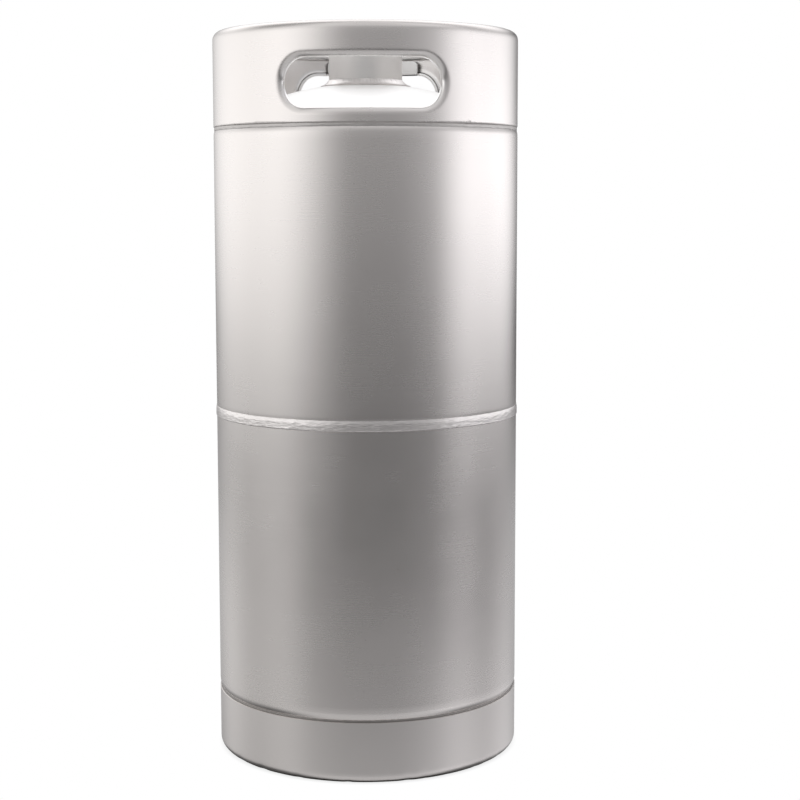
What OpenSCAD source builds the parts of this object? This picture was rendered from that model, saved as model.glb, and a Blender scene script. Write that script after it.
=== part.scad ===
// Slim stainless beer keg of about 20 litres, with its drop-in extractor valve.
// Millimetres, Z up. The origin is the middle of the foot ring, on the floor.
// The two handholds face -Y (front) and +Y (rear).

/* [Barrel] */
// Outer diameter of the barrel, the collar and the foot ring
body_d = 237; // [233:1:241]
// Wall thickness of the barrel
shell_t = 1.5; // [1.2:0.1:1.8]
// Height at which the straight wall starts
wall_low = 53.8; // [53:0.2:54.6]
// Height at which the straight wall ends
wall_high = 482.2; // [481:0.2:483]
// Radius of the bend between the wall and each dome
knuckle_r = 12; // [11:0.5:13]
// Rise of the top dome above the straight wall
top_rise = 40.8; // [40:0.2:42]
// Drop of the bottom dome below the straight wall
bottom_rise = 30.4; // [28:0.2:32]

/* [Girth weld] */
// Height of the middle of the weld that joins the halves
girth_z = 269.8; // [240:0.2:300]
// Width of the rolled weld band
girth_w = 9; // [6:0.5:12]
// How far the band stands out of the wall
girth_proud = 0.6; // [0.3:0.1:1]

/* [Collar] */
// Overall height of the keg
keg_h = 562; // [561:0.5:564]
// Sheet thickness of the collar
collar_t = 2.2; // [2:0.1:2.4]
// Height of the collar's lower edge above the end of the straight wall
collar_step = 7; // [6.5:0.1:7]
// Outer radius of the curled rim
rim_r = 6.5; // [6:0.1:6.5]
// How deep the weld groove under the collar is
groove_depth = 0.8; // [0.5:0.1:1]

/* [Handholds] */
// Width of each handhold, measured straight across
grip_w = 118.6; // [110:0.2:122]
// Height of each handhold
grip_h = 35.6; // [34:0.2:37]
// Height of the middle of the handholds
grip_z = 518; // [517.5:0.1:518.5]
// How far the turned-in edge reaches into the collar
flange_depth = 6.8; // [6:0.1:7.5]
// Width of the folded grip over each handhold, measured straight across
tongue_w = 75.4; // [60:0.2:80]
// How far the grip sits off the middle of its handhold
tongue_shift = 4; // [0:0.5:5]
// Height of the top of the folded grip
tongue_top = 547.8; // [545:0.2:548]
// Radius of the grip's upper corners
tongue_corner = 4; // [2:0.5:5]

/* [Foot ring] */
// Height of the foot ring's upper edge
foot_top = 47; // [46.6:0.1:47.4]
// Sheet thickness of the foot ring
foot_t = 2.2; // [2:0.1:2.5]
// Outer radius of the bend at the floor
foot_bend_r = 6; // [5:0.5:7]
// Width of the flat part that stands on the floor
foot_flat = 5.5; // [4:0.5:8]
// Outer radius of the curled inner edge
foot_curl_r = 5; // [4:0.5:6]
// Width of the weld bead on the foot ring's upper edge
foot_bead = 1.3; // [1:0.1:1.6]

/* [Neck] */
// Outer diameter of the neck
neck_d = 57; // [56.8:0.1:57.4]
// Height of the neck's top
neck_top = 548; // [547:0.5:549]
// Height of the neck's lower end, inside the barrel
neck_low = 512; // [511:0.5:514]
// Height of the ledge that carries the gasket
ledge_z = 520; // [519.5:0.1:520]
// Radius of the bore above the ledge
neck_bore_r = 25.5; // [25.4:0.1:25.7]
// Radius of the bore below the ledge
neck_throat_r = 23; // [22.9:0.1:23.2]
// How far the neck weld reaches out from the neck
neck_weld_w = 6.5; // [5:0.1:7]
// How far the neck weld climbs up the neck
neck_weld_h = 4.4; // [3:0.1:5]

/* [Valve] */
// Radius of the opening that the coupler goes into
mouth_r = 18.5; // [18.2:0.1:18.8]
// Radius of the socket behind the bayonet lip
socket_r = 20.5; // [20:0.1:21]
// Radius of the throat that the coupler's probe goes through
throat_r = 12.5; // [12:0.1:13]
// Angle of each of the two bayonet notches
notch_angle = 40; // [30:1:42]
// Outer radius of the gas seal
seal_r = 17; // [16.5:0.1:17.2]
// Radius of the hole in the gas seal
seal_hole_r = 7.5; // [7.4:0.1:7.6]
// Radius of the ball
ball_r = 8.6; // [8.55:0.01:8.62]
// Height of the middle of the ball
ball_z = 514.7; // [514.5:0.05:514.7]
// Outer radius of the siphon tube
tube_r = 8; // [7.8:0.1:8.1]
// Wall of the siphon tube
tube_t = 0.8; // [0.6:0.1:0.9]
// Height of the siphon tube's open end
tube_low = 36; // [34:0.5:40]

/* [Springs] */
// Wire radius of the gas spring
gas_wire_r = 1; // [0.8:0.1:1.1]
// Turns of the gas spring, with its two closed ends
gas_turns = 6; // [5:0.5:8]
// Wire radius of the ball spring
ball_wire_r = 0.5; // [0.4:0.05:0.5]
// Turns of the ball spring, with its two closed ends
ball_turns = 5; // [4:0.5:7]

/* [Hidden] */
$fn = 96;

body_r = body_d / 2;
neck_r = neck_d / 2;
collar_low = wall_high + collar_step;
rim_centre_r = body_r - rim_r;
rim_centre_z = keg_h - rim_r;
flange_r = body_r - flange_depth;

// How far the barrel has bent in at the foot ring's upper edge
foot_notch = knuckle_r - sqrt(pow(knuckle_r, 2) - pow(wall_low - foot_top, 2));

// The folded grip stands on the turned-in edge, just clear of its inner face
tongue_in_r = flange_r + 0.2;
tongue_low = grip_z + grip_h / 2 + collar_t / 2;

// Heights in the neck, from the gasket up
gasket_t = 2;
gasket_gap = 0.2;
flange_low = ledge_z + gasket_t;
ring_low = 542;
ring_t = 2;
ring_depth = 1.4;

// Valve housing
housing_gap = 0.2;
skirt_t = 2;
skirt_low = 508;
skirt_r = neck_throat_r - housing_gap;
cavity_r = skirt_r - skirt_t;
seat_z = 524;
seat_lip = 0.5;
seat_w = 2;
socket_low = 530;
socket_high = 538.5;

// Spring cage, held by two tabs in slots of the housing's skirt
cage_gap = 0.3;
cage_t = 1.2;
cage_r = cavity_r - cage_gap;
cage_low = 476;
cage_floor_t = 2;
cage_high = 516;
cage_hole_gap = 0.25;
window_low = 484;
window_high = 506;
window_angle = 50;
tab_low = 510;
tab_h = 3;
tab_w = 11.4;
tab_gap = 0.2;

// Cup, seal and tube that slide down together
seal_low = 519;
seal_high = 523.4;
core_low = 520.2;
core_t = 1.2;
core_in_r = 10.5;
core_out_r = 14.5;
cup_flange_r = 17.5;
cup_flange_low = 516.5;
cup_r = 13.5;
cup_in_r = 11.5;
cup_cone_z = 497;
cup_floor_high = 493;
cup_floor_low = 491;
spigot_low = 486;
spigot_t = 1.4;
tube_notch_r = 4;

// Springs: mean radius, and the heights of the middle of the wire at both ends
gas_spring_r = 16.2;
gas_spring_low = cage_low + cage_floor_t + gas_wire_r + 0.1;
gas_spring_high = cup_flange_low - gas_wire_r - 0.1;
ball_spring_r = 5;
ball_spring_low = cup_floor_high + ball_wire_r + 0.1;
ball_spring_high = ball_z - sqrt(pow(ball_r + ball_wire_r, 2) - pow(ball_spring_r, 2)) - 0.2;
wire_sides = 8;
rings_per_turn = 20;

// ---- profiles, drawn in the X (radius) and Y (height) plane ----

// Radius of a dome that meets its knuckle smoothly and rises this high
function crown_r(rise) =
    (pow(body_r - knuckle_r, 2) + pow(rise, 2) - pow(knuckle_r, 2)) / (2 * (rise - knuckle_r));

// Half of a solid dish end, standing on the line y = 0, grown by an even thickness
module dish_profile(rise, grow) {
    crown = crown_r(rise);
    knuckle_at = [body_r - knuckle_r, 0];
    crown_at = [0, rise - crown];
    meet = crown_at + (crown + grow) * (knuckle_at - crown_at) / (crown - knuckle_r);
    square(meet);
    intersection() {
        translate(knuckle_at) circle(knuckle_r + grow);
        square([body_r + 1, rise]);
    }
    intersection() {
        translate(crown_at) circle(crown + grow, $fn = 240);
        translate([0, meet.y]) square([meet.x, rise]);
    }
}

// Half of the barrel, filled solid, grown by an even thickness
module barrel_profile(grow = 0) {
    translate([0, wall_low]) square([body_r + grow, wall_high - wall_low]);
    translate([0, wall_high]) dish_profile(top_rise, grow);
    translate([0, wall_low]) mirror([0, 1]) dish_profile(bottom_rise, grow);
}

module shell_profile() {
    difference() {
        barrel_profile();
        barrel_profile(-shell_t);
    }
}

// A bent strip of sheet: part of a ring about a centre, kept inside one quadrant or half
module bend_profile(outer_r, thickness, keep_from, keep_size) {
    intersection() {
        difference() {
            circle(outer_r);
            circle(outer_r - thickness);
        }
        translate(keep_from) square(keep_size);
    }
}

module foot_profile() {
    flat_out = body_r - foot_bend_r;
    flat_in = flat_out - foot_flat;
    difference() {
        union() {
            translate([body_r - foot_t, foot_bend_r]) square([foot_t, foot_top - foot_bend_r]);
            translate([flat_out, foot_bend_r])
                bend_profile(foot_bend_r, foot_t, [0, -foot_bend_r], [foot_bend_r, foot_bend_r]);
            translate([flat_in, 0]) square([foot_flat, foot_t]);
            translate([flat_in, foot_curl_r])
                bend_profile(foot_curl_r, foot_t, [-foot_curl_r, -foot_curl_r], [foot_curl_r, foot_curl_r]);
        }
        barrel_profile();
    }
}

module collar_profile() {
    translate([body_r - collar_t, collar_low]) square([collar_t, rim_centre_z - collar_low]);
    translate([rim_centre_r, rim_centre_z]) {
        bend_profile(rim_r, collar_t, [-rim_r, 0], [2 * rim_r, rim_r]);
        bend_profile(rim_r, collar_t, [-rim_r, -rim_r], [rim_r, rim_r]);
    }
}

// ---- helpers ----

// A ring of rectangular section
module ring(inner_r, outer_r, low, high) {
    rotate_extrude() translate([inner_r, low]) square([outer_r - inner_r, high - low]);
}

// Part of such a ring, centred on the given direction
module ring_part(inner_r, outer_r, low, high, middle_angle, half_angle) {
    rotate([0, 0, middle_angle - half_angle])
        rotate_extrude(angle = 2 * half_angle)
            translate([inner_r, low]) square([outer_r - inner_r, high - low]);
}

// Front and rear copies of what is drawn facing +X
module front_and_rear() {
    for (facing = [-90, 90]) rotate([0, 0, facing]) children();
}

// A strip with round ends, centred, seen along X: width along Y
module round_ended(width, height) {
    straight = width - height;
    square([straight, height], center = true);
    for (side = [-1, 1]) translate([side * straight / 2, 0]) circle(height / 2);
}

// What is cut or kept by an outline pushed through the wall along +X
module through_wall() {
    from_r = flange_r - 20;
    translate([from_r, 0, 0]) rotate([90, 0, 90]) linear_extrude(body_r + 5 - from_r) children();
}

// The space of one handhold through the wall, facing +X, grown all round
module grip_space(grow) {
    translate([0, 0, grip_z]) through_wall() round_ended(grip_w + 2 * grow, grip_h + 2 * grow);
}

// The folded grip over one handhold, facing +X
module grip_fold() {
    height = tongue_top - tongue_low;
    inner_w = tongue_w - 2 * tongue_corner;
    intersection() {
        ring(tongue_in_r, tongue_in_r + collar_t, tongue_low, tongue_top);
        translate([0, -tongue_shift, tongue_low]) through_wall() union() {
            translate([-tongue_w / 2, 0]) square([tongue_w, height - tongue_corner]);
            translate([-inner_w / 2, 0]) square([inner_w, height]);
            for (side = [-1, 1])
                translate([side * inner_w / 2, height - tongue_corner]) circle(tongue_corner);
        }
    }
}

// A coil of round wire with closed ends, swept as rings of points
function coil_height(turn, turns, wire_r, travel) =
    let (closed = 2.2 * wire_r, pitch = (travel - 2 * closed) / (turns - 2))
    turn < 1 ? closed * turn
        : turn > turns - 1 ? travel - closed * (turns - turn)
        : closed + pitch * (turn - 1);

module coil(mean_r, wire_r, low, high, turns) {
    rings = round(turns * rings_per_turn);
    points = [
        for (i = [0:rings])
            let (turn = i * turns / rings, angle = 360 * turn)
            for (k = [0:wire_sides - 1])
                let (
                    around = 360 * k / wire_sides,
                    radius = mean_r + wire_r * cos(around),
                    height = low + coil_height(turn, turns, wire_r, high - low)
                )
                [radius * cos(angle), radius * sin(angle), height + wire_r * sin(around)]
    ];
    sides = [
        for (i = [0:rings - 1])
            for (k = [0:wire_sides - 1])
                let (next = (k + 1) % wire_sides, this_ring = i * wire_sides, next_ring = this_ring + wire_sides)
                [this_ring + k, this_ring + next, next_ring + next, next_ring + k]
    ];
    first_end = [for (k = [wire_sides - 1:-1:0]) k];
    last_end = [for (k = [0:wire_sides - 1]) rings * wire_sides + k];
    polyhedron(points, concat([first_end], sides, [last_end]));
}

// ---- barrel ----

module upper_shell() {
    color("gainsboro") rotate_extrude() difference() {
        shell_profile();
        square([body_r + 1, girth_z]);
        square([neck_r, keg_h]);
    }
}

module lower_shell() {
    color("gainsboro") rotate_extrude() difference() {
        shell_profile();
        translate([0, girth_z]) square([body_r + 1, keg_h]);
    }
}

module girth_weld() {
    color("silver") ring(body_r, body_r + girth_proud, girth_z - girth_w / 2, girth_z + girth_w / 2);
}

// ---- collar and foot ring ----

module top_collar() {
    color("gainsboro") {
        difference() {
            union() {
                rotate_extrude() collar_profile();
                front_and_rear() intersection() {
                    ring(flange_r, body_r - collar_t / 2, collar_low, rim_centre_z);
                    grip_space(collar_t);
                }
            }
            front_and_rear() grip_space(0);
        }
        front_and_rear() grip_fold();
    }
}

module collar_weld() {
    bead_h = 3.5;
    color("darkgray") rotate_extrude() difference() {
        translate([body_r - collar_t, collar_low - bead_h])
            square([collar_t - groove_depth, bead_h]);
        barrel_profile();
    }
}

module foot_ring() {
    color("gainsboro") rotate_extrude() foot_profile();
}

module foot_weld() {
    low = 0.5 * foot_bead;
    high = 1.3 * foot_bead;
    color("darkgray") rotate_extrude() difference() {
        translate([body_r - foot_notch, foot_top])
            polygon([[0, 0], [foot_bead, 0], [foot_bead, low], [low, high], [0, high]]);
        barrel_profile();
    }
}

// ---- neck ----

module neck() {
    chamfer = 0.8;
    color("silver") difference() {
        union() {
            cylinder_from(neck_r, neck_low, neck_top - chamfer);
            translate([0, 0, neck_top - chamfer]) cylinder(r1 = neck_r, r2 = neck_r - chamfer, h = chamfer);
        }
        cylinder_from(neck_throat_r, neck_low - 1, ledge_z + 1);
        cylinder_from(neck_bore_r, ledge_z, neck_top + 1);
        cylinder_from(neck_bore_r + ring_depth, ring_low, ring_low + ring_t);
    }
}

module cylinder_from(radius, low, high) {
    translate([0, 0, low]) cylinder(r = radius, h = high - low);
}

module neck_weld() {
    crown = crown_r(top_rise);
    dome_z = wall_high + top_rise - crown + sqrt(pow(crown, 2) - pow(neck_r, 2));
    buried = 2;
    color("darkgray") rotate_extrude() difference() {
        translate([neck_r, dome_z]) polygon([
            [0, neck_weld_h],
            [neck_weld_w * 0.4, neck_weld_h * 0.6],
            [neck_weld_w, -0.3],
            [neck_weld_w, -buried],
            [0, -buried]
        ]);
        barrel_profile();
    }
}

module neck_seal() {
    color("black") ring(neck_throat_r, neck_bore_r - gasket_gap, ledge_z, flange_low);
}

module retaining_ring() {
    clearance = 0.1;
    split_angle = 8;
    color("dimgray") ring_part(
        neck_bore_r - ring_depth, neck_bore_r + ring_depth - clearance,
        ring_low + clearance, ring_low + ring_t - clearance,
        90, 180 - split_angle
    );
}

// ---- valve ----

module valve_housing() {
    flange_out = neck_bore_r - housing_gap;
    seat_out = throat_r + seat_w;
    lip_low = seat_z - seat_lip;
    color("silver") difference() {
        rotate_extrude() polygon([
            [skirt_r, skirt_low], [skirt_r, flange_low],
            [flange_out, flange_low], [flange_out, ring_low],
            [mouth_r, ring_low], [mouth_r, socket_high],
            [socket_r, socket_high], [socket_r, socket_low],
            [throat_r, socket_low], [throat_r, lip_low],
            [seat_out, lip_low], [seat_out, seat_z],
            [cavity_r, seat_z], [cavity_r, skirt_low]
        ]);
        for (side = [0, 180])
            ring_part(mouth_r - 2, socket_r - 0.4, socket_high - 1, ring_low + 1, side, notch_angle / 2);
        front_and_rear() translate([cavity_r - 2, -tab_w / 2 - tab_gap, tab_low - tab_gap])
            cube([skirt_t + 4, tab_w + 2 * tab_gap, tab_h + 2 * tab_gap]);
    }
}

module spring_cage() {
    color("lightgray") {
        difference() {
            cylinder_from(cage_r, cage_low, cage_high);
            cylinder_from(cage_r - cage_t, cage_low + cage_floor_t, cage_high + 1);
            cylinder_from(tube_r + cage_hole_gap, cage_low - 1, cage_low + cage_floor_t + 1);
            for (side = [0:90:270])
                ring_part(cage_r - 3, cage_r + 1, window_low, window_high, side, window_angle / 2);
        }
        front_and_rear() intersection() {
            translate([cage_r - cage_t, -tab_w / 2, tab_low]) cube([skirt_t + 4, tab_w, tab_h]);
            ring(cage_r - cage_t, skirt_r, tab_low, tab_low + tab_h);
        }
    }
}

module gas_spring() {
    color("darkgray") coil(gas_spring_r, gas_wire_r, gas_spring_low, gas_spring_high, gas_turns);
}

module siphon_tube() {
    color("silver") difference() {
        cylinder_from(tube_r, tube_low, cup_floor_low);
        cylinder_from(tube_r - tube_t, tube_low - 1, cup_floor_low + 1);
        translate([0, 0, tube_low]) rotate([90, 0, 0])
            cylinder(r = tube_notch_r, h = 4 * tube_r, center = true);
    }
}

module tube_cup() {
    spigot_r = tube_r + spigot_t;
    color("gainsboro") difference() {
        union() {
            cylinder_from(cup_flange_r, cup_flange_low, seal_low);
            cylinder_from(cup_r, cup_cone_z, seal_low);
            translate([0, 0, cup_floor_low])
                cylinder(r1 = spigot_r, r2 = cup_r, h = cup_cone_z - cup_floor_low);
            cylinder_from(spigot_r, spigot_low, cup_floor_low);
        }
        cylinder_from(cup_in_r, cup_cone_z, seal_low + 1);
        translate([0, 0, cup_floor_high])
            cylinder(r1 = tube_r - tube_t, r2 = cup_in_r, h = cup_cone_z - cup_floor_high);
        cylinder_from(tube_r - tube_t, spigot_low - 1, cup_floor_high + 1);
        cylinder_from(tube_r, spigot_low - 1, cup_floor_low);
    }
}

module gas_seal() {
    color("black") difference() {
        cylinder_from(seal_r, seal_low, seal_high);
        cylinder_from(seal_hole_r, seal_low - 1, seal_high + 1);
        ring(core_in_r, core_out_r, core_low, core_low + core_t);
    }
}

module seal_core() {
    color("silver") ring(core_in_r, core_out_r, core_low, core_low + core_t);
}

module ball_spring() {
    color("darkgray") coil(ball_spring_r, ball_wire_r, ball_spring_low, ball_spring_high, ball_turns);
}

module beer_ball() {
    color("lightsteelblue") translate([0, 0, ball_z]) sphere(r = ball_r);
}

upper_shell();
lower_shell();
girth_weld();
top_collar();
collar_weld();
foot_ring();
foot_weld();
neck();
neck_weld();
neck_seal();
retaining_ring();
valve_housing();
spring_cage();
gas_spring();
siphon_tube();
tube_cup();
gas_seal();
seal_core();
ball_spring();
beer_ball();
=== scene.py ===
import math

import bmesh
import bpy
import numpy as np
from mathutils import Matrix, Vector, noise


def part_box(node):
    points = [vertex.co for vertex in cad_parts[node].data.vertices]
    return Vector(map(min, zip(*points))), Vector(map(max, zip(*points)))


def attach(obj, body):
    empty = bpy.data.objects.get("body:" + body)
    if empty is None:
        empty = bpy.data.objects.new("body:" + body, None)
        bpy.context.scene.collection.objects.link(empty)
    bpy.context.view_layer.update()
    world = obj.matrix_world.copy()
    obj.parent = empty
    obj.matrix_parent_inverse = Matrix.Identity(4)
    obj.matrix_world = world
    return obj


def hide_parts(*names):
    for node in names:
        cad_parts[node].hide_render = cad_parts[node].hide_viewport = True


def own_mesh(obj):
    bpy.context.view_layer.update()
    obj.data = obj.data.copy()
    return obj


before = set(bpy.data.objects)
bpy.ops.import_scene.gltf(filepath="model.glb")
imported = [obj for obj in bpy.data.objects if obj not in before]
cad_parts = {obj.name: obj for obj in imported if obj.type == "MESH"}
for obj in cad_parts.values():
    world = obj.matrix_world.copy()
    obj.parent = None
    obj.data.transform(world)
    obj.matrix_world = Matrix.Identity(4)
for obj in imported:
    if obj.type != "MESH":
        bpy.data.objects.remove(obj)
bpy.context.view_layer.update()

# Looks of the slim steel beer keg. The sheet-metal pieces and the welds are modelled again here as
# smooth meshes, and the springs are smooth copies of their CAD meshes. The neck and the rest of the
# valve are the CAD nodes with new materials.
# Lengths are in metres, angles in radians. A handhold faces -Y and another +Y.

MM = 0.001
TURN = 2 * math.pi

# ---- sizes, from the frame's boxes or as in the CAD source ----

BODY_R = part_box("lower_shell")[1].x
GIRTH_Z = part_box("lower_shell")[1].z
DOME_LOW_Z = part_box("lower_shell")[0].z
SHELL_T = 1.5 * MM
WALL_LOW = 53.8 * MM
WALL_HIGH = 482.2 * MM
KNUCKLE_R = 12 * MM
TOP_RISE = 40.8 * MM
BOTTOM_RISE = WALL_LOW - DOME_LOW_Z
NECK_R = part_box("neck")[1].x

COLLAR_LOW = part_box("top_collar")[0].z
KEG_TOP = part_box("top_collar")[1].z
COLLAR_T = 2.2 * MM
RIM_R = 6.5 * MM
GRIP_Z = 518 * MM
GRIP_H = 35.6 * MM
GRIP_HALF_ANGLE = math.asin(118.6 * MM / 2 / BODY_R)
GRIP_DEPTH = 6.8 * MM
TONGUE_R = 112.2 * MM
TONGUE_HALF_ANGLE = math.asin(75.4 * MM / 2 / TONGUE_R)
TONGUE_SHIFT_ANGLE = 4 * MM / TONGUE_R
TONGUE_TOP = 547.8 * MM

FOOT_T = 2.2 * MM
FOOT_TOP = 47 * MM
FOOT_BEND_R = 6 * MM
FOOT_FLAT = 5.5 * MM
FOOT_CURL_R = 5 * MM
GIRTH_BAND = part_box("girth_weld")
GIRTH_TOP = GIRTH_BAND[1].z - 1.2 * MM
NECK_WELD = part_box("neck_weld")

# Painted light within the collar, whiter steel for the bright light in its well: heights and radii where
# it comes and goes
PALE_STARTS = (484 * MM, 488 * MM)
PALE_ENDS = (549 * MM, 554 * MM)
PALE_RADII = (114 * MM, 118.2 * MM)
DOME_RADII = (112 * MM, 114 * MM)


# ---- outlines: lists of (radius, height) points ----

def arc(centre, radius, start_deg, end_deg, steps):
    """Points on an arc, from one angle to the other."""
    angles = np.radians(np.linspace(start_deg, end_deg, steps + 1))
    return [(centre[0] + radius * math.cos(a), centre[1] + radius * math.sin(a)) for a in angles]


def straight(start, end, steps):
    """Points on a straight line, without its last one."""
    shares = np.linspace(0, 1, steps + 1)[:-1]
    return [(start[0] + (end[0] - start[0]) * s, start[1] + (end[1] - start[1]) * s) for s in shares]


def dish(rise, grow):
    """Outer line of a dish end above z = 0: knuckle and crown, from the wall to the neck's radius."""
    crown = ((BODY_R - KNUCKLE_R) ** 2 + rise ** 2 - KNUCKLE_R ** 2) / (2 * (rise - KNUCKLE_R))
    meet = math.degrees(math.atan2(crown - rise, BODY_R - KNUCKLE_R))
    knuckle = arc((BODY_R - KNUCKLE_R, 0), KNUCKLE_R + grow, 0, meet, 10)
    return knuckle, crown + grow, meet


def dish_line(rise, grow, inner_r, steps):
    """The dish end's line, ending at inner_r from the axis."""
    knuckle, crown, meet = dish(rise, grow)
    end = math.degrees(math.acos(inner_r / crown))
    return knuckle[:-1] + arc((0, rise + grow - crown), crown, meet, end, steps)


def thick(line, thickness):
    """A closed outline: a middle line made into sheet, with slightly rounded edges."""
    points = np.array(line)
    along = np.gradient(points, axis=0)
    along /= np.linalg.norm(along, axis=1)[:, None]
    across = np.stack([along[:, 1], -along[:, 0]], 1) * thickness / 2
    reach, narrowing = thickness * 0.1, 0.6
    start = points[0] - along[0] * reach
    end = points[-1] + along[-1] * reach
    right = [tuple(p) for p in points + across]
    left = [tuple(p) for p in points - across]
    start_edge = [tuple(start - across[0] * narrowing), tuple(start + across[0] * narrowing)]
    end_edge = [tuple(end + across[-1] * narrowing), tuple(end - across[-1] * narrowing)]
    return start_edge + right + end_edge + left[::-1]


# ---- making meshes ----

def waves(angle, height, turns, per_metre, seed):
    """Smooth noise on a cylinder, from about -1 to 1, without a seam."""
    spot = Vector((math.cos(angle) * turns, math.sin(angle) * turns, height * per_metre + seed))
    return noise.noise(spot)


def finish_piece(name, mesh, material, nodes, sharp_deg=40):
    """Adds a mesh to the scene as a piece of the keg that stands for CAD nodes."""
    piece = bpy.data.objects.new(name, mesh)
    bpy.context.scene.collection.objects.link(piece)
    mesh.materials.append(material)
    mesh.shade_smooth()
    mesh.set_sharp_from_angle(angle=math.radians(sharp_deg))
    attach(piece, "keg")
    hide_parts(*nodes)
    return piece


def lathe(name, outline, segments, shape=None):
    """A closed outline turned about Z. shape(angle, radius, height) may move each point."""
    points, faces = [], []
    count = len(outline)
    for i in range(segments):
        angle = TURN * i / segments
        for radius, height in outline:
            r, z = shape(angle, radius, height) if shape else (radius, height)
            points.append((r * math.cos(angle), r * math.sin(angle), z))
    for i in range(segments):
        here, there = i * count, (i + 1) % segments * count
        for k in range(count):
            after = (k + 1) % count
            faces.append((here + k, there + k, there + after, here + after))
    mesh = bpy.data.meshes.new(name)
    mesh.from_pydata(points, [], faces)
    outward(mesh)
    return mesh


def outward(mesh):
    """Turns the faces so that they look out of the solid."""
    work = bmesh.new()
    work.from_mesh(mesh)
    bmesh.ops.recalc_face_normals(work, faces=work.faces)
    work.to_mesh(mesh)
    work.free()


# ---- node materials ----

def add(tree, kind, **settings):
    """A new node with its properties set."""
    made = tree.nodes.new(kind)
    for key, value in settings.items():
        setattr(made, key, value)
    return made


def put(tree, made, **inputs):
    """Sets or links inputs of a node, by name with _ for a space."""
    for key, value in inputs.items():
        socket = made.inputs[key.replace("_", " ")]
        if isinstance(value, bpy.types.NodeSocket):
            tree.links.new(value, socket)
        else:
            socket.default_value = value
    return made


def math_node(tree, operation, first, second=0.0):
    made = add(tree, "ShaderNodeMath", operation=operation)
    for socket, value in zip(made.inputs, (first, second)):
        if isinstance(value, bpy.types.NodeSocket):
            tree.links.new(value, socket)
        else:
            socket.default_value = value
    return made.outputs[0]


def remap(tree, value, low, high, to_low, to_high, smooth=False):
    made = add(tree, "ShaderNodeMapRange", interpolation_type="SMOOTHSTEP" if smooth else "LINEAR")
    put(tree, made, Value=value, From_Min=low, From_Max=high, To_Min=to_low, To_Max=to_high)
    return made.outputs["Result"]


def between(tree, value, dark_low, full_low, full_high, dark_high):
    """1 between the two full values, fading to 0 at the dark ones."""
    rising = remap(tree, value, dark_low, full_low, 0, 1)
    falling = remap(tree, value, full_high, dark_high, 1, 0)
    return math_node(tree, "MULTIPLY", rising, falling)


def noise_of(tree, vector, scale, detail=3.0, rough=0.5):
    made = add(tree, "ShaderNodeTexNoise")
    put(tree, made, Vector=vector, Scale=scale, Detail=detail, Roughness=rough)
    return made.outputs[0]


def ramp(tree, value, stops):
    """A colour ramp through (position, colour) stops."""
    made = add(tree, "ShaderNodeValToRGB")
    elements = made.color_ramp.elements
    while len(elements) < len(stops):
        elements.new(0.5)
    for element, (position, colour) in zip(elements, stops):
        element.position = position
        element.color = (*colour, 1)
    tree.links.new(value, made.inputs[0])
    return made.outputs[0]


def turned_vector(tree, around, along):
    """Coordinates that run round the axis: fine across the turning lines, long along them.

    Returns those, the plain place, its distance from the axis and its height."""
    place = add(tree, "ShaderNodeTexCoord").outputs["Object"]
    split = add(tree, "ShaderNodeSeparateXYZ")
    tree.links.new(place, split.inputs[0])
    x, y, z = split.outputs
    radius = math_node(tree, "SQRT", math_node(
        tree, "ADD", math_node(tree, "MULTIPLY", x, x), math_node(tree, "MULTIPLY", y, y)))
    across = math_node(tree, "MULTIPLY", math_node(tree, "ADD", z, radius), along)
    joined = add(tree, "ShaderNodeCombineXYZ")
    for socket, value in zip(joined.inputs, (x, y)):
        tree.links.new(math_node(tree, "MULTIPLY", value, around), socket)
    tree.links.new(across, joined.inputs[2])
    return joined.outputs[0], place, radius, z


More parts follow.
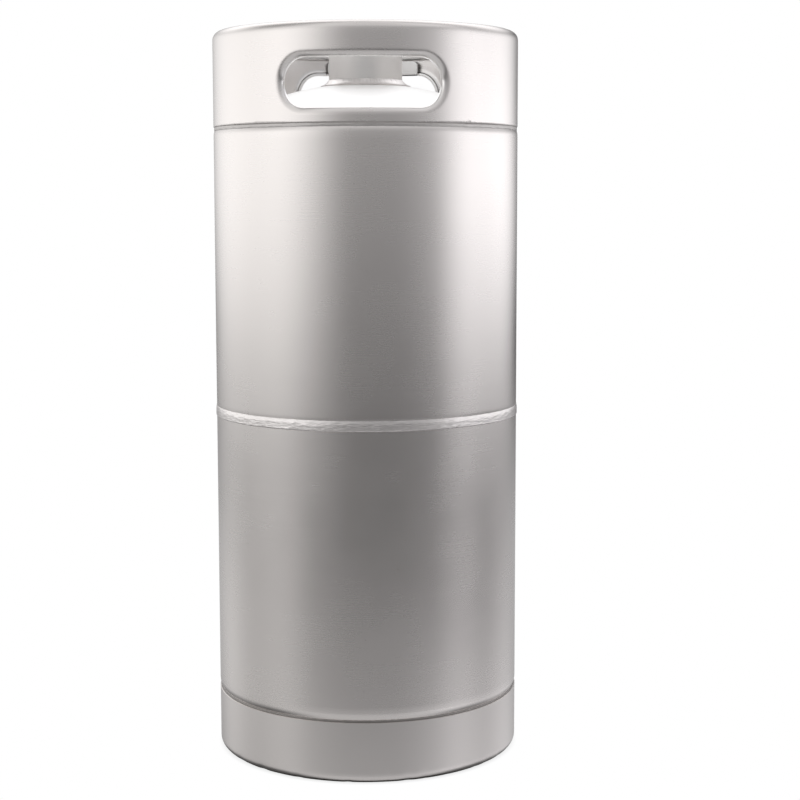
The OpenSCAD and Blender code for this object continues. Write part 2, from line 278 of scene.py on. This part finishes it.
def metal(name, colour, rough, streak=0.03, grain=0.02, streak_scale=700, grain_scale=900,
          around=9.0, specks=0.0, floor_wear=False, cloud=0.04, pickled=0.0):
    """Brushed or blasted stainless steel. streak and grain are bump depths in millimetres.

    The last argument is how much rougher the dome within the collar is, as pickling left it matt. Where it
    is given, the steel within the collar is also made whiter: painted light for the bright light in the
    collar's well."""
    material = bpy.data.materials.new(name)
    material.use_nodes = True
    tree = material.node_tree
    shader = tree.nodes["Principled BSDF"]
    shader.inputs["Metallic"].default_value = 1.0
    turned, place, radius, height = turned_vector(tree, around, streak_scale)
    streaks = noise_of(tree, turned, 1.0, 2.0, 0.6)
    clouds = noise_of(tree, place, 14.0, 4.0, 0.55)
    dust = noise_of(tree, place, grain_scale, 2.0, 0.7)

    light = tuple(min(1.0, c * (1 + cloud)) for c in colour)
    dark = tuple(c * (1 - cloud) for c in colour)
    tone = ramp(tree, math_node(tree, "ADD", math_node(tree, "MULTIPLY", clouds, 0.8),
                                math_node(tree, "MULTIPLY", streaks, 0.2)),
                [(0.3, dark), (0.7, light)])
    uneven = math_node(tree, "ADD", math_node(tree, "MULTIPLY", streaks, 0.02),
                       math_node(tree, "MULTIPLY", clouds, 0.06))
    finish = math_node(tree, "ADD", uneven, rough - 0.04)
    if specks:
        tone = mixed(tree, tone, speck_mask(tree, place, specks), (0.45, 0.44, 0.42))
    # Darker near the floor: scuffs and dirt, and painted shade on the underside of the bottom bend.
    if floor_wear:
        tone = mixed(tree, tone, wear_mask(tree, place, height), (0.4, 0.39, 0.37))
    # Painted light: within the collar the colour is mixed towards white, for the bright light in the
    # collar's well. The dome there is also rougher, matt from pickling.
    if pickled:
        above = between(tree, height, *PALE_STARTS, *PALE_ENDS)
        pale = math_node(tree, "MULTIPLY", above, remap(tree, radius, *PALE_RADII, 1, 0))
        tone = mixed(tree, tone, pale, (0.93, 0.92, 0.91), "MIX")
        dome = math_node(tree, "MULTIPLY", above, remap(tree, radius, *DOME_RADII, pickled, 0))
        finish = math_node(tree, "ADD", finish, dome)
    tree.links.new(tone, shader.inputs["Base Color"])
    tree.links.new(finish, shader.inputs["Roughness"])

    lines = put(tree, add(tree, "ShaderNodeBump"), Height=streaks, Distance=streak * MM, Strength=1.0)
    fine = put(tree, add(tree, "ShaderNodeBump"), Height=dust, Distance=grain * MM, Strength=1.0,
               Normal=lines.outputs[0])
    tree.links.new(fine.outputs[0], shader.inputs["Normal"])
    return material


def mixed(tree, tone, mask, colour, blend="MULTIPLY"):
    """tone, with a colour mixed in where mask is 1."""
    made = add(tree, "ShaderNodeMix", data_type="RGBA", blend_type=blend)
    tree.links.new(mask, made.inputs[0])
    tree.links.new(tone, made.inputs[6])
    made.inputs[7].default_value = (*colour, 1)
    return made.outputs[2]


def speck_mask(tree, place, share):
    """Sparse dark pinpricks."""
    cells = add(tree, "ShaderNodeTexVoronoi", feature="F1")
    put(tree, cells, Vector=place, Scale=70.0, Randomness=1.0)
    near = remap(tree, cells.outputs["Distance"], 0.02, 0.045, 1, 0, True)
    chosen = noise_of(tree, place, 31.0, 0.0)
    return math_node(tree, "MULTIPLY", near, remap(tree, chosen, 0.62 - share, 0.66 - share, 0, 1))


def wear_mask(tree, place, height):
    """Darkening on the lowest few millimetres, ragged along its upper edge: scuffs and dirt, and painted
    shade on the underside of the bottom bend.
    """
    ragged = noise_of(tree, place, 60.0, 5.0, 0.65)
    line = math_node(tree, "ADD", 1.2 * MM, math_node(tree, "MULTIPLY", ragged, 4 * MM))
    low = math_node(tree, "SUBTRACT", line, height)
    return remap(tree, low, 0, 2.2 * MM, 0, 0.8, True)


def rubber(name):
    """Black nitrile rubber with a dusty, slightly pitted skin."""
    material = bpy.data.materials.new(name)
    material.use_nodes = True
    tree = material.node_tree
    shader = tree.nodes["Principled BSDF"]
    place = add(tree, "ShaderNodeTexCoord").outputs["Object"]
    clouds = noise_of(tree, place, 120.0, 4.0, 0.6)
    pits = noise_of(tree, place, 1500.0, 2.0, 0.6)
    tone = ramp(tree, clouds, [(0.35, (0.012, 0.012, 0.013)), (0.7, (0.03, 0.03, 0.031))])
    tree.links.new(tone, shader.inputs["Base Color"])
    tree.links.new(remap(tree, clouds, 0.3, 0.7, 0.5, 0.7), shader.inputs["Roughness"])
    bump = put(tree, add(tree, "ShaderNodeBump"), Height=pits, Distance=0.03 * MM, Strength=1.0)
    tree.links.new(bump.outputs[0], shader.inputs["Normal"])
    return material


# ---- barrel ----

def barrel_shape(seed):
    """Slight unevenness of a drawn shell, drawn in a little just above the girth weld."""
    def shape(angle, radius, height):
        share = min(1.0, radius / BODY_R)
        swell = 0.12 * MM * share * waves(angle, height, 0.9, 7.0, seed)
        above = height - GIRTH_TOP
        dip = 0.12 * MM * math.exp(-abs(above) / (0.9 * MM)) if above > -1 * MM else 0.0
        return radius + swell - dip * (radius > BODY_R - SHELL_T / 2), height
    return shape


def upper_shell(material):
    inner_r = BODY_R - SHELL_T
    near_girth = straight((BODY_R, GIRTH_Z), (BODY_R, GIRTH_Z + 9 * MM), 20)
    wall = near_girth + straight((BODY_R, GIRTH_Z + 9 * MM), (BODY_R, WALL_HIGH), 40)
    dome = [(r, WALL_HIGH + z) for r, z in dish_line(TOP_RISE, 0, NECK_R, 24)]
    under = [(r, WALL_HIGH + z) for r, z in dish_line(TOP_RISE - SHELL_T, -SHELL_T, NECK_R, 24)]
    inside = straight((inner_r, WALL_HIGH), (inner_r, GIRTH_Z), 12) + [(inner_r, GIRTH_Z)]
    outline = wall + dome + under[::-1][:-1] + inside
    mesh = lathe("upper_shell_skin", outline, 288, barrel_shape(3.1))
    return finish_piece("upper_shell_skin", mesh, material, ["upper_shell"])


def lower_shell(material):
    inner_r = BODY_R - SHELL_T
    wall = straight((BODY_R, GIRTH_Z), (BODY_R, WALL_LOW), 44)
    last_r = 1 * MM
    bottom = [(r, WALL_LOW - z) for r, z in dish_line(BOTTOM_RISE, 0, last_r, 24)]
    above = [(r, WALL_LOW - z) for r, z in dish_line(BOTTOM_RISE - SHELL_T, -SHELL_T, last_r, 24)]
    inside = straight((inner_r, WALL_LOW), (inner_r, GIRTH_Z), 12) + [(inner_r, GIRTH_Z)]
    outline = wall + bottom + above[::-1][:-1] + inside
    mesh = lathe("lower_shell_skin", outline, 288, barrel_shape(8.6))
    close_axis(mesh, last_r * 1.5)
    return finish_piece("lower_shell_skin", mesh, material, ["lower_shell"])


def close_axis(mesh, within):
    """Closes the small hole that a lathe leaves at the axis: one point above and one below."""
    work = bmesh.new()
    work.from_mesh(mesh)
    near = [v for v in work.verts if math.hypot(v.co.x, v.co.y) < within]
    middle = sum(v.co.z for v in near) / len(near)
    for level in ([v for v in near if v.co.z > middle], [v for v in near if v.co.z <= middle]):
        height = sum(v.co.z for v in level) / len(level)
        bmesh.ops.pointmerge(work, verts=level, merge_co=Vector((0, 0, height)))
    lonely = [e for e in work.edges if not e.link_faces]
    bmesh.ops.delete(work, geom=lonely, context="EDGES")
    work.to_mesh(mesh)
    work.free()


# ---- welds ----

def girth_weld(material):
    """The rolled weld band: softly rounded edges and a slightly uneven face."""
    low, high = GIRTH_BAND[0].z, GIRTH_TOP
    proud = GIRTH_BAND[1].x - BODY_R
    half = (high - low) / 2
    top_rounding, low_rounding = 4.0 * MM, 0.5 * MM

    def height_of(t):
        share = min(1.0, (1 - abs(t)) * half / (top_rounding if t > 0 else low_rounding))
        return proud * (0.2 + 0.75 * (1 - (1 - share) ** 2))

    face = [(BODY_R + height_of(t), (low + high) / 2 + t * half) for t in np.linspace(-1, 1, 29)]
    back_r = BODY_R - 0.5 * MM
    outline = face + [(back_r, high), (back_r, low)]

    def shape(angle, radius, height):
        edge = 0.22 * MM * waves(angle, 0, 24.0, 0, 6.0)
        face_wave = 0.03 * MM * waves(angle, height, 26.0, 500.0, 1.7)
        return radius + face_wave * (radius > BODY_R), height + edge
    mesh = lathe("girth_weld_bead", outline, 720, shape)
    return finish_piece("girth_weld_bead", mesh, material, ["girth_weld"], 70)


def collar_weld(material):
    """The nearly flush bead between the collar and the shoulder of the barrel."""
    low, high = COLLAR_LOW - 3.5 * MM, COLLAR_LOW
    inner_r = BODY_R - COLLAR_T - 0.2 * MM
    crown_r, edge_drop = BODY_R - 0.5 * MM, 0.3 * MM
    face = [(crown_r - edge_drop * abs(t) ** 3, (low + high) / 2 + t * (high - low) / 2)
            for t in np.linspace(-1, 1, 11)]
    outline = face + [(inner_r, high), (inner_r, low)]

    def shape(angle, radius, height):
        ripple = waves(angle, height, 50.0, 400.0, 2.4)
        sway = waves(angle, 0, 9.0, 0, 3.3)
        out = radius > inner_r + 0.1 * MM
        return radius + 0.10 * MM * ripple * out, height + 0.25 * MM * sway * (height < high - 0.1 * MM)
    mesh = lathe("collar_weld_bead", outline, 720, shape)
    return finish_piece("collar_weld_bead", mesh, material, ["collar_weld"], 80)


def foot_weld(material):
    """The thin bead on the foot ring's upper edge, against the barrel's lower bend."""
    bead_r = 1.15 * MM
    outline = arc((BODY_R - 1.95 * MM, FOOT_TOP + 0.55 * MM), bead_r, 0, 330, 11)

    def shape(angle, radius, height):
        out = radius > BODY_R - 2 * MM
        ripple = 0.16 * MM * waves(angle, height, 45.0, 300.0, 5.5)
        return radius + ripple * out, height + ripple * 0.6
    mesh = lathe("foot_weld_bead", outline, 720, shape)
    return finish_piece("foot_weld_bead", mesh, material, ["foot_weld"], 80)


def neck_weld(material):
    """The broad uneven fillet at the foot of the neck, running out flat on the dome."""
    top, outer_r = NECK_WELD[1].z, NECK_WELD[1].x
    low = NECK_WELD[0].z
    width = outer_r - NECK_R
    rise = top - low - 0.7 * MM
    face = [(NECK_R + width * share, low + 0.7 * MM + rise * (1 - share) ** 1.8)
            for share in np.linspace(0, 1, 13)]
    inner_r = NECK_R - 0.3 * MM
    outline = face + [(outer_r, low), (inner_r, low), (inner_r, top)]

    def shape(angle, radius, height):
        share = max(0.0, min(1.0, (radius - NECK_R) / width))
        lumps = waves(angle, height, 9.0, 90.0, 7.7) + 0.5 * waves(angle, height, 26.0, 200.0, 9.1)
        swell = 0.3 * MM * lumps * (radius > NECK_R + 0.1 * MM) * (1 - share)
        return radius + swell, height + swell + 0.3 * MM * lumps * (height > top - 1 * MM)
    mesh = lathe("neck_weld_bead", outline, 480, shape)
    return finish_piece("neck_weld_bead", mesh, material, ["neck_weld"], 80)


# ---- foot ring ----

def foot_ring(material):
    """The rolled bottom chime, slightly knocked about where it meets the floor."""
    half = FOOT_T / 2
    flat_out = BODY_R - FOOT_BEND_R
    flat_in = flat_out - FOOT_FLAT
    wall = straight((BODY_R - half, FOOT_TOP - 0.22 * MM), (BODY_R - half, FOOT_BEND_R), 20)
    bend = arc((flat_out, FOOT_BEND_R), FOOT_BEND_R - half, 0, -90, 10)
    flat = straight((flat_out, half), (flat_in, half), 3)
    curl = arc((flat_in, FOOT_CURL_R), FOOT_CURL_R - half, -90, -180, 8)
    outline = thick(wall + bend[:-1] + flat + curl, FOOT_T)

    def shape(angle, radius, height):
        low = max(0.0, 1 - height / (9 * MM))
        knocks = max(0.0, waves(angle, height, 14.0, 60.0, 2.9) - 0.15)
        swell = 0.10 * MM * waves(angle, height, 1.3, 14.0, 6.3)
        rise = low * 0.5 * MM * knocks
        return radius + swell - low * 0.35 * MM * knocks, height + rise
    mesh = lathe("foot_ring_skin", outline, 384, shape)
    return finish_piece("foot_ring_skin", mesh, material, ["foot_ring"])


# ---- top collar ----

def top_collar(material):
    """The collar as one sheet: wall, curled rim, two handholds with turned-in edges, folded grips.

    A handhold's patch of the sheet reaches this many columns to each side of its middle."""
    columns, patch = 240, 28
    mid_r = BODY_R - COLLAR_T / 2
    rim_centre = (BODY_R - RIM_R, KEG_TOP - RIM_R)
    rim_mid_r = RIM_R - COLLAR_T / 2
    heights = list(np.linspace(COLLAR_LOW, rim_centre[1], 23))
    curl = arc(rim_centre, rim_mid_r, 0, 270, 16)[1:]
    sheet = bmesh.new()

    def point(angle, radius, height):
        return sheet.verts.new((radius * math.cos(angle), radius * math.sin(angle), height))

    grips = [columns * 3 // 4, columns // 4]
    last_row = len(heights) - 1

    def in_patch(column, row):
        return any(abs(column - grip) < patch for grip in grips) and 0 < row < last_row

    wall = [[None if in_patch(j, k) else point(TURN * j / columns, mid_r, z)
             for j in range(columns)] for k, z in enumerate(heights)]
    rim = [[point(TURN * j / columns, r, z) for j in range(columns)] for r, z in curl]
    rows = wall + rim
    for k, (low, high) in enumerate(zip(rows[:-1], rows[1:])):
        for j in range(columns):
            after = (j + 1) % columns
            if k >= last_row or not any(grip - patch <= j < grip + patch for grip in grips):
                sheet.faces.new((low[j], low[after], high[after], high[j]))
    for grip in grips:
        border = ([wall[0][j] for j in range(grip - patch, grip + patch)]
                  + [wall[k][grip + patch] for k in range(last_row)]
                  + [wall[last_row][j] for j in range(grip + patch, grip - patch, -1)]
                  + [wall[k][grip - patch] for k in range(last_row, 0, -1)])
        handhold(sheet, border, TURN * grip / columns, mid_r)
    mesh = bpy.data.meshes.new("top_collar_skin")
    bmesh.ops.recalc_face_normals(sheet, faces=sheet.faces)
    sheet.to_mesh(mesh)
    sheet.free()
    piece = finish_piece("top_collar_skin", mesh, material, ["top_collar"])
    smooth = piece.modifiers.new("smooth", "SUBSURF")
    smooth.levels = smooth.render_levels = 1
    sheet_body = piece.modifiers.new("sheet", "SOLIDIFY")
    sheet_body.thickness = COLLAR_T
    sheet_body.offset = 0
    sheet_body.use_even_offset = True
    edges = piece.modifiers.new("edges", "BEVEL")
    edges.width = 0.45 * MM
    edges.segments = 2
    edges.limit_method = "ANGLE"
    edges.angle_limit = math.radians(50)
    return piece


def handhold(sheet, border, middle, mid_r):
    """Fills the patch round one handhold. border is its outer loop of points."""
    clear = GRIP_H / 2 + COLLAR_T / 2
    straight_half = mid_r * GRIP_HALF_ANGLE - GRIP_H / 2
    soft, depth_bend = 4.4 * MM, 2.6 * MM
    edge_depth = GRIP_DEPTH - COLLAR_T / 2 - 1.6 * MM
    fold_r = mid_r - TONGUE_R - depth_bend
    corner_cut = 1.3 * MM

    def flat_place(vertex):
        angle = math.atan2(vertex.co.y, vertex.co.x) - middle
        angle = (angle + math.pi) % TURN - math.pi
        return np.array([mid_r * angle, vertex.co.z - GRIP_Z])

    places = [flat_place(v) for v in border]
    feet = [np.array([max(-straight_half, min(straight_half, p[0])), 0.0]) for p in places]
    ways = [(p - f) / np.linalg.norm(p - f) for p, f in zip(places, feet)]

    def vertex_at(flat, depth):
        angle = middle + flat[0] / mid_r
        radius = mid_r - depth
        return sheet.verts.new((radius * math.cos(angle), radius * math.sin(angle), GRIP_Z + flat[1]))

    def ring(distance, depth):
        return [vertex_at(f + w * distance, depth) for f, w in zip(feet, ways)]

    count = len(border)
    rings = [border]
    for share in (0.3, 0.55, 0.75, 0.9, 1.0):
        rings.append([vertex_at(p + (f + w * (clear + soft) - p) * share, 0.0)
                      for p, f, w in zip(places, feet, ways)])
    for a in np.radians(np.linspace(0, 90, 8)[1:]):
        rings.append(ring(clear + soft * (1 - math.sin(a)), depth_bend * (1 - math.cos(a))))
    for outer, inner in zip(rings[:-1], rings[1:]):
        for i in range(count):
            sheet.faces.new((outer[i], outer[(i + 1) % count], inner[(i + 1) % count], inner[i]))

    from_u = -mid_r * (TONGUE_HALF_ANGLE + TONGUE_SHIFT_ANGLE)
    to_u = mid_r * (TONGUE_HALF_ANGLE - TONGUE_SHIFT_ANGLE)
    top = [i for i in range(count) if ways[i][1] > 0.999 and from_u < places[i][0] < to_u]
    bend_end = rings[-1]
    turned = [bend_end]
    for depth in np.linspace(depth_bend, edge_depth, 4)[1:]:
        turned.append(ring(clear, depth))
    notch = {i % count for i in (top[0] - 1, top[-1])}
    for outer, inner in zip(turned[:-1], turned[1:]):
        for i in range(count):
            after = (i + 1) % count
            if not (i in notch or i in top[:-1]):
                sheet.faces.new((outer[i], outer[after], inner[after], inner[i]))
    for row in turned[1:]:
        for vertex in row:
            if not vertex.link_faces:
                sheet.verts.remove(vertex)

    spread = np.linspace(to_u, from_u, len(top))
    top_flat = TONGUE_TOP - GRIP_Z
    fold = [(clear + fold_r * (1 - math.cos(a)), depth_bend + fold_r * math.sin(a))
            for a in np.radians(np.linspace(0, 90, 5)[1:])]
    plate = [(d, depth_bend + fold_r) for d in np.linspace(clear + fold_r, top_flat, 5)[1:]]
    grip_rows = [[bend_end[i] for i in top]]
    for step, (distance, depth) in enumerate(fold + plate):
        row = []
        for n, i in enumerate(top):
            u = places[i][0] + (spread[n] - places[i][0]) * min(1.0, (step + 1) / len(fold))
            height = distance
            corner = step == len(fold + plate) - 1 and n in (0, len(top) - 1)
            if corner:
                u -= math.copysign(corner_cut, u - (from_u + to_u) / 2)
                height -= corner_cut
            row.append(vertex_at(np.array([u, height]), depth))
        grip_rows.append(row)
    for low, high in zip(grip_rows[:-1], grip_rows[1:]):
        for n in range(len(top) - 1):
            sheet.faces.new((low[n], low[n + 1], high[n + 1], high[n]))


# ---- springs ----

def spring(node, body, material):
    """The CAD spring as a smooth copy, attached to the body that carries it."""
    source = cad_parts[node]
    mesh = source.data.copy()
    work = bmesh.new()
    work.from_mesh(mesh)
    bmesh.ops.remove_doubles(work, verts=work.verts, dist=0.001 * MM)
    work.to_mesh(mesh)
    work.free()
    mesh.materials.clear()
    mesh.materials.append(material)
    mesh.shade_smooth()
    mesh.set_sharp_from_angle(angle=math.radians(60))
    piece = bpy.data.objects.new(node + "_wire", mesh)
    bpy.context.scene.collection.objects.link(piece)
    piece.matrix_world = source.matrix_world
    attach(piece, body)
    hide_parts(node)
    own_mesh(piece)


# ---- the CAD nodes that show as they are ----

def dress(nodes, material):
    """Gives CAD nodes their material."""
    for name in nodes:
        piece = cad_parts[name]
        for place in piece.material_slots:
            place.material = material


# ---- room ----

# What the keg sees of the room: soft lights and the pale floor's sheen, all in degrees. Azimuth 0 is
# towards the camera and 90 to its right. A light is full within the first angle from its azimuth and
# gone at the second. Upwards it is dark, full, full and dark again at the four elevations.
LIGHTS = (
    ("left window", -97, (10, 90), (-9, 0, 5, 45), 1.4),
    ("right window", 105, (5, 55), (-9, -1, 4, 75), 0.85),
    ("right window's bright foot", 105, (5, 55), (-9, -1, 0, 9), 0.6),
    ("light off the right wall", 105, (10, 85), (-5, -1, 0, 17), 0.55),
    ("front wall", 8, (40, 100), (-7, -1, 120, 150), 0.46),
    ("ceiling in front", 8, (40, 100), (16, 40, 120, 150), 0.3),
    ("ceiling on the left", -97, (10, 90), (20, 50, 120, 150), 0.35),
    ("ceiling on the right", 105, (10, 85), (30, 50, 120, 150), 0.3),
    ("ceiling light behind", 180, (15, 85), (14, 32, 60, 120), 1.4),
    ("floor in front", 8, (40, 100), (-150, -120, -20, -12), 0.6),
    ("floor behind", 180, (15, 85), (-25, -14, -11, -5), 0.5),
    ("bright floor on the left", -97, (5, 60), (-38, -16, -14, -7), 0.55),
    ("dim floor on the left", -97, (10, 90), (-90, -35, -14, -9), 0.1),
    ("left edge of the floor", -97, (5, 60), (-9, -5, -1, 3), 0.3),
    ("floor on the right", 105, (10, 85), (-40, -20, -19, -14), 0.3),
    ("dim floor on the right", 105, (10, 85), (-90, -35, -20, -14), 0.12),
    ("bright floor on the right", 105, (5, 55), (-40, -20, -18, -9), 0.45),
)


def glow_of(tree, heading, level, azimuth, angles, levels, strength):
    """How bright one light is towards a heading, a level unit vector, at an elevation."""
    full, dark = (math.cos(math.radians(angle)) for angle in angles)
    across = add(tree, "ShaderNodeVectorMath", operation="DOT_PRODUCT")
    tree.links.new(heading, across.inputs[0])
    across.inputs[1].default_value = (math.sin(math.radians(azimuth)), -math.cos(math.radians(azimuth)), 0)
    side = remap(tree, across.outputs["Value"], dark, full, 0, strength, True)
    return math_node(tree, "MULTIPLY", side, between(tree, level, *levels))


def studio():
    """A white room for the camera. The keg sees the soft lights instead, slightly cooler at the right."""
    world = bpy.data.worlds.new("studio")
    bpy.context.scene.world = world
    world.use_nodes = True
    tree = world.node_tree
    way = add(tree, "ShaderNodeTexCoord").outputs["Generated"]
    split = add(tree, "ShaderNodeSeparateXYZ")
    tree.links.new(way, split.inputs[0])
    level = math_node(tree, "MULTIPLY", math_node(tree, "ARCSINE", split.outputs[2]), math.degrees(1))
    flat = add(tree, "ShaderNodeVectorMath", operation="MULTIPLY")
    tree.links.new(way, flat.inputs[0])
    flat.inputs[1].default_value = (1, 1, 0)
    heading = add(tree, "ShaderNodeVectorMath", operation="NORMALIZE")
    tree.links.new(flat.outputs[0], heading.inputs[0])
    total = 0.0
    for name, *light in LIGHTS:
        total = math_node(tree, "ADD", glow_of(tree, heading.outputs[0], level, *light), total)
    tint = ramp(tree, remap(tree, split.outputs[0], -1, 1, 0, 1),
                [(0.0, (0.995, 1, 1)), (1.0, (0.97, 0.975, 1))])
    glow = tree.nodes["Background"]
    tree.links.new(tint, glow.inputs["Color"])
    tree.links.new(total, glow.inputs["Strength"])
    white = add(tree, "ShaderNodeBackground")
    white.inputs["Color"].default_value = (1, 1, 1, 1)
    seen = add(tree, "ShaderNodeLightPath").outputs["Is Camera Ray"]
    mix = add(tree, "ShaderNodeMixShader")
    tree.links.new(seen, mix.inputs[0])
    tree.links.new(glow.outputs[0], mix.inputs[1])
    tree.links.new(white.outputs[0], mix.inputs[2])
    tree.links.new(mix.outputs[0], tree.nodes["World Output"].inputs["Surface"])


def floor():
    """A plain white floor, with only a breath of shade where the keg stands on it."""
    half = 6.0
    corners = [(-half, -half, 0), (half, -half, 0), (half, half, 0), (-half, half, 0)]
    mesh = bpy.data.meshes.new("floor")
    mesh.from_pydata(corners, [], [(0, 1, 2, 3)])
    ground = bpy.data.objects.new("floor", mesh)
    bpy.context.scene.collection.objects.link(ground)
    material = bpy.data.materials.new("floor_white")
    material.use_nodes = True
    tree = material.node_tree
    tree.nodes.remove(tree.nodes["Principled BSDF"])
    shade = add(tree, "ShaderNodeAmbientOcclusion", samples=8)
    shade.inputs["Distance"].default_value = 0.006
    glow = add(tree, "ShaderNodeEmission")
    tone = ramp(tree, shade.outputs["AO"], [(0.1, (0.82, 0.82, 0.82)), (0.7, (1, 1, 1))])
    tree.links.new(tone, glow.inputs["Color"])
    tree.links.new(glow.outputs[0], tree.nodes["Material Output"].inputs["Surface"])
    mesh.materials.append(material)
    ground.visible_glossy = ground.visible_diffuse = ground.visible_shadow = False


def camera():
    """The camera at the photograph's angle, turned about the keg so that the handhold is off centre."""
    distance, height = 1.3883, 0.4412
    orbit, yaw, pitch, roll = (math.radians(a) for a in (1.25, 1.092, 6.357, -0.097))
    lens = bpy.data.cameras.new("camera")
    lens.sensor_width = 36
    lens.lens = 79.06
    lens.shift_y = -0.01875
    lens.clip_start, lens.clip_end = 0.05, 50
    made = bpy.data.objects.new("camera", lens)
    bpy.context.scene.collection.objects.link(made)
    place = Matrix.Translation((distance * math.sin(orbit), -distance * math.cos(orbit), height))
    turn = (Matrix.Rotation(orbit - yaw, 4, "Z") @ Matrix.Rotation(math.pi / 2 - pitch, 4, "X")
            @ Matrix.Rotation(roll, 4, "Z"))
    made.matrix_world = place @ turn
    bpy.context.scene.camera = made


# ---- everything ----

# The barrel's steel is painted whiter within the collar: painted light for the bright light in the
# collar's well.
barrel = metal("barrel_steel", (0.718, 0.68, 0.66), 0.27, streak=0.0006, grain=0.002, specks=0.02,
               cloud=0.015, pickled=0.22)
# The foot's steel is darker near the floor: scuffs and dirt, and painted shade on its bottom bend.
chime = metal("foot_steel", (0.718, 0.68, 0.66), 0.29, streak=0.0006, grain=0.002, specks=0.03,
              floor_wear=True, cloud=0.015)
weld = metal("weld_steel", (0.73, 0.695, 0.68), 0.3, streak=0.36, grain=0.01, streak_scale=620,
             grain_scale=600, around=150.0, cloud=0.05)
dull_weld = metal("dull_weld_steel", (0.52, 0.495, 0.48), 0.4, streak=0.3, grain=0.02, streak_scale=500,
                  around=120.0, cloud=0.1)
# The foot weld's dark colour is painted shade: it stands in for the shade in the crevice between the foot
# ring's edge and the barrel's lower bend.
seam = metal("seam_steel_painted_shade", (0.26, 0.245, 0.235), 0.42, streak=0.08, grain=0.02, streak_scale=600,
             around=150.0, cloud=0.15)
machined = metal("machined_steel", (0.74, 0.72, 0.70), 0.33, streak=0.02, grain=0.002, streak_scale=2600)
# The neck's steel is made whiter than the machined steel: painted light that stands in for the bright
# light in the collar's well.
turned = metal("turned_steel_painted_light", (0.93, 0.915, 0.9), 0.46, streak=0.02, grain=0.002, streak_scale=1400)
wire = metal("spring_steel", (0.52, 0.52, 0.53), 0.3, streak=0.006, grain=0.004, cloud=0.1)
polished = metal("polished_steel", (0.85, 0.85, 0.86), 0.11, streak=0.0, grain=0.001, cloud=0.02)
seal = rubber("seal_rubber")

upper_shell(barrel)
lower_shell(barrel)
top_collar(barrel)
foot_ring(chime)
girth_weld(weld)
collar_weld(dull_weld)
foot_weld(seam)
neck_weld(weld)
dress(["neck"], turned)
dress(["valve_housing", "spring_cage", "siphon_tube", "tube_cup", "seal_core"], machined)
spring("gas_spring", "keg", wire)
spring("ball_spring", "siphon", wire)
dress(["retaining_ring"], wire)
dress(["beer_ball"], polished)
dress(["neck_seal", "gas_seal"], seal)
floor()
studio()
camera()
bpy.context.scene.view_settings.view_transform = "Standard"
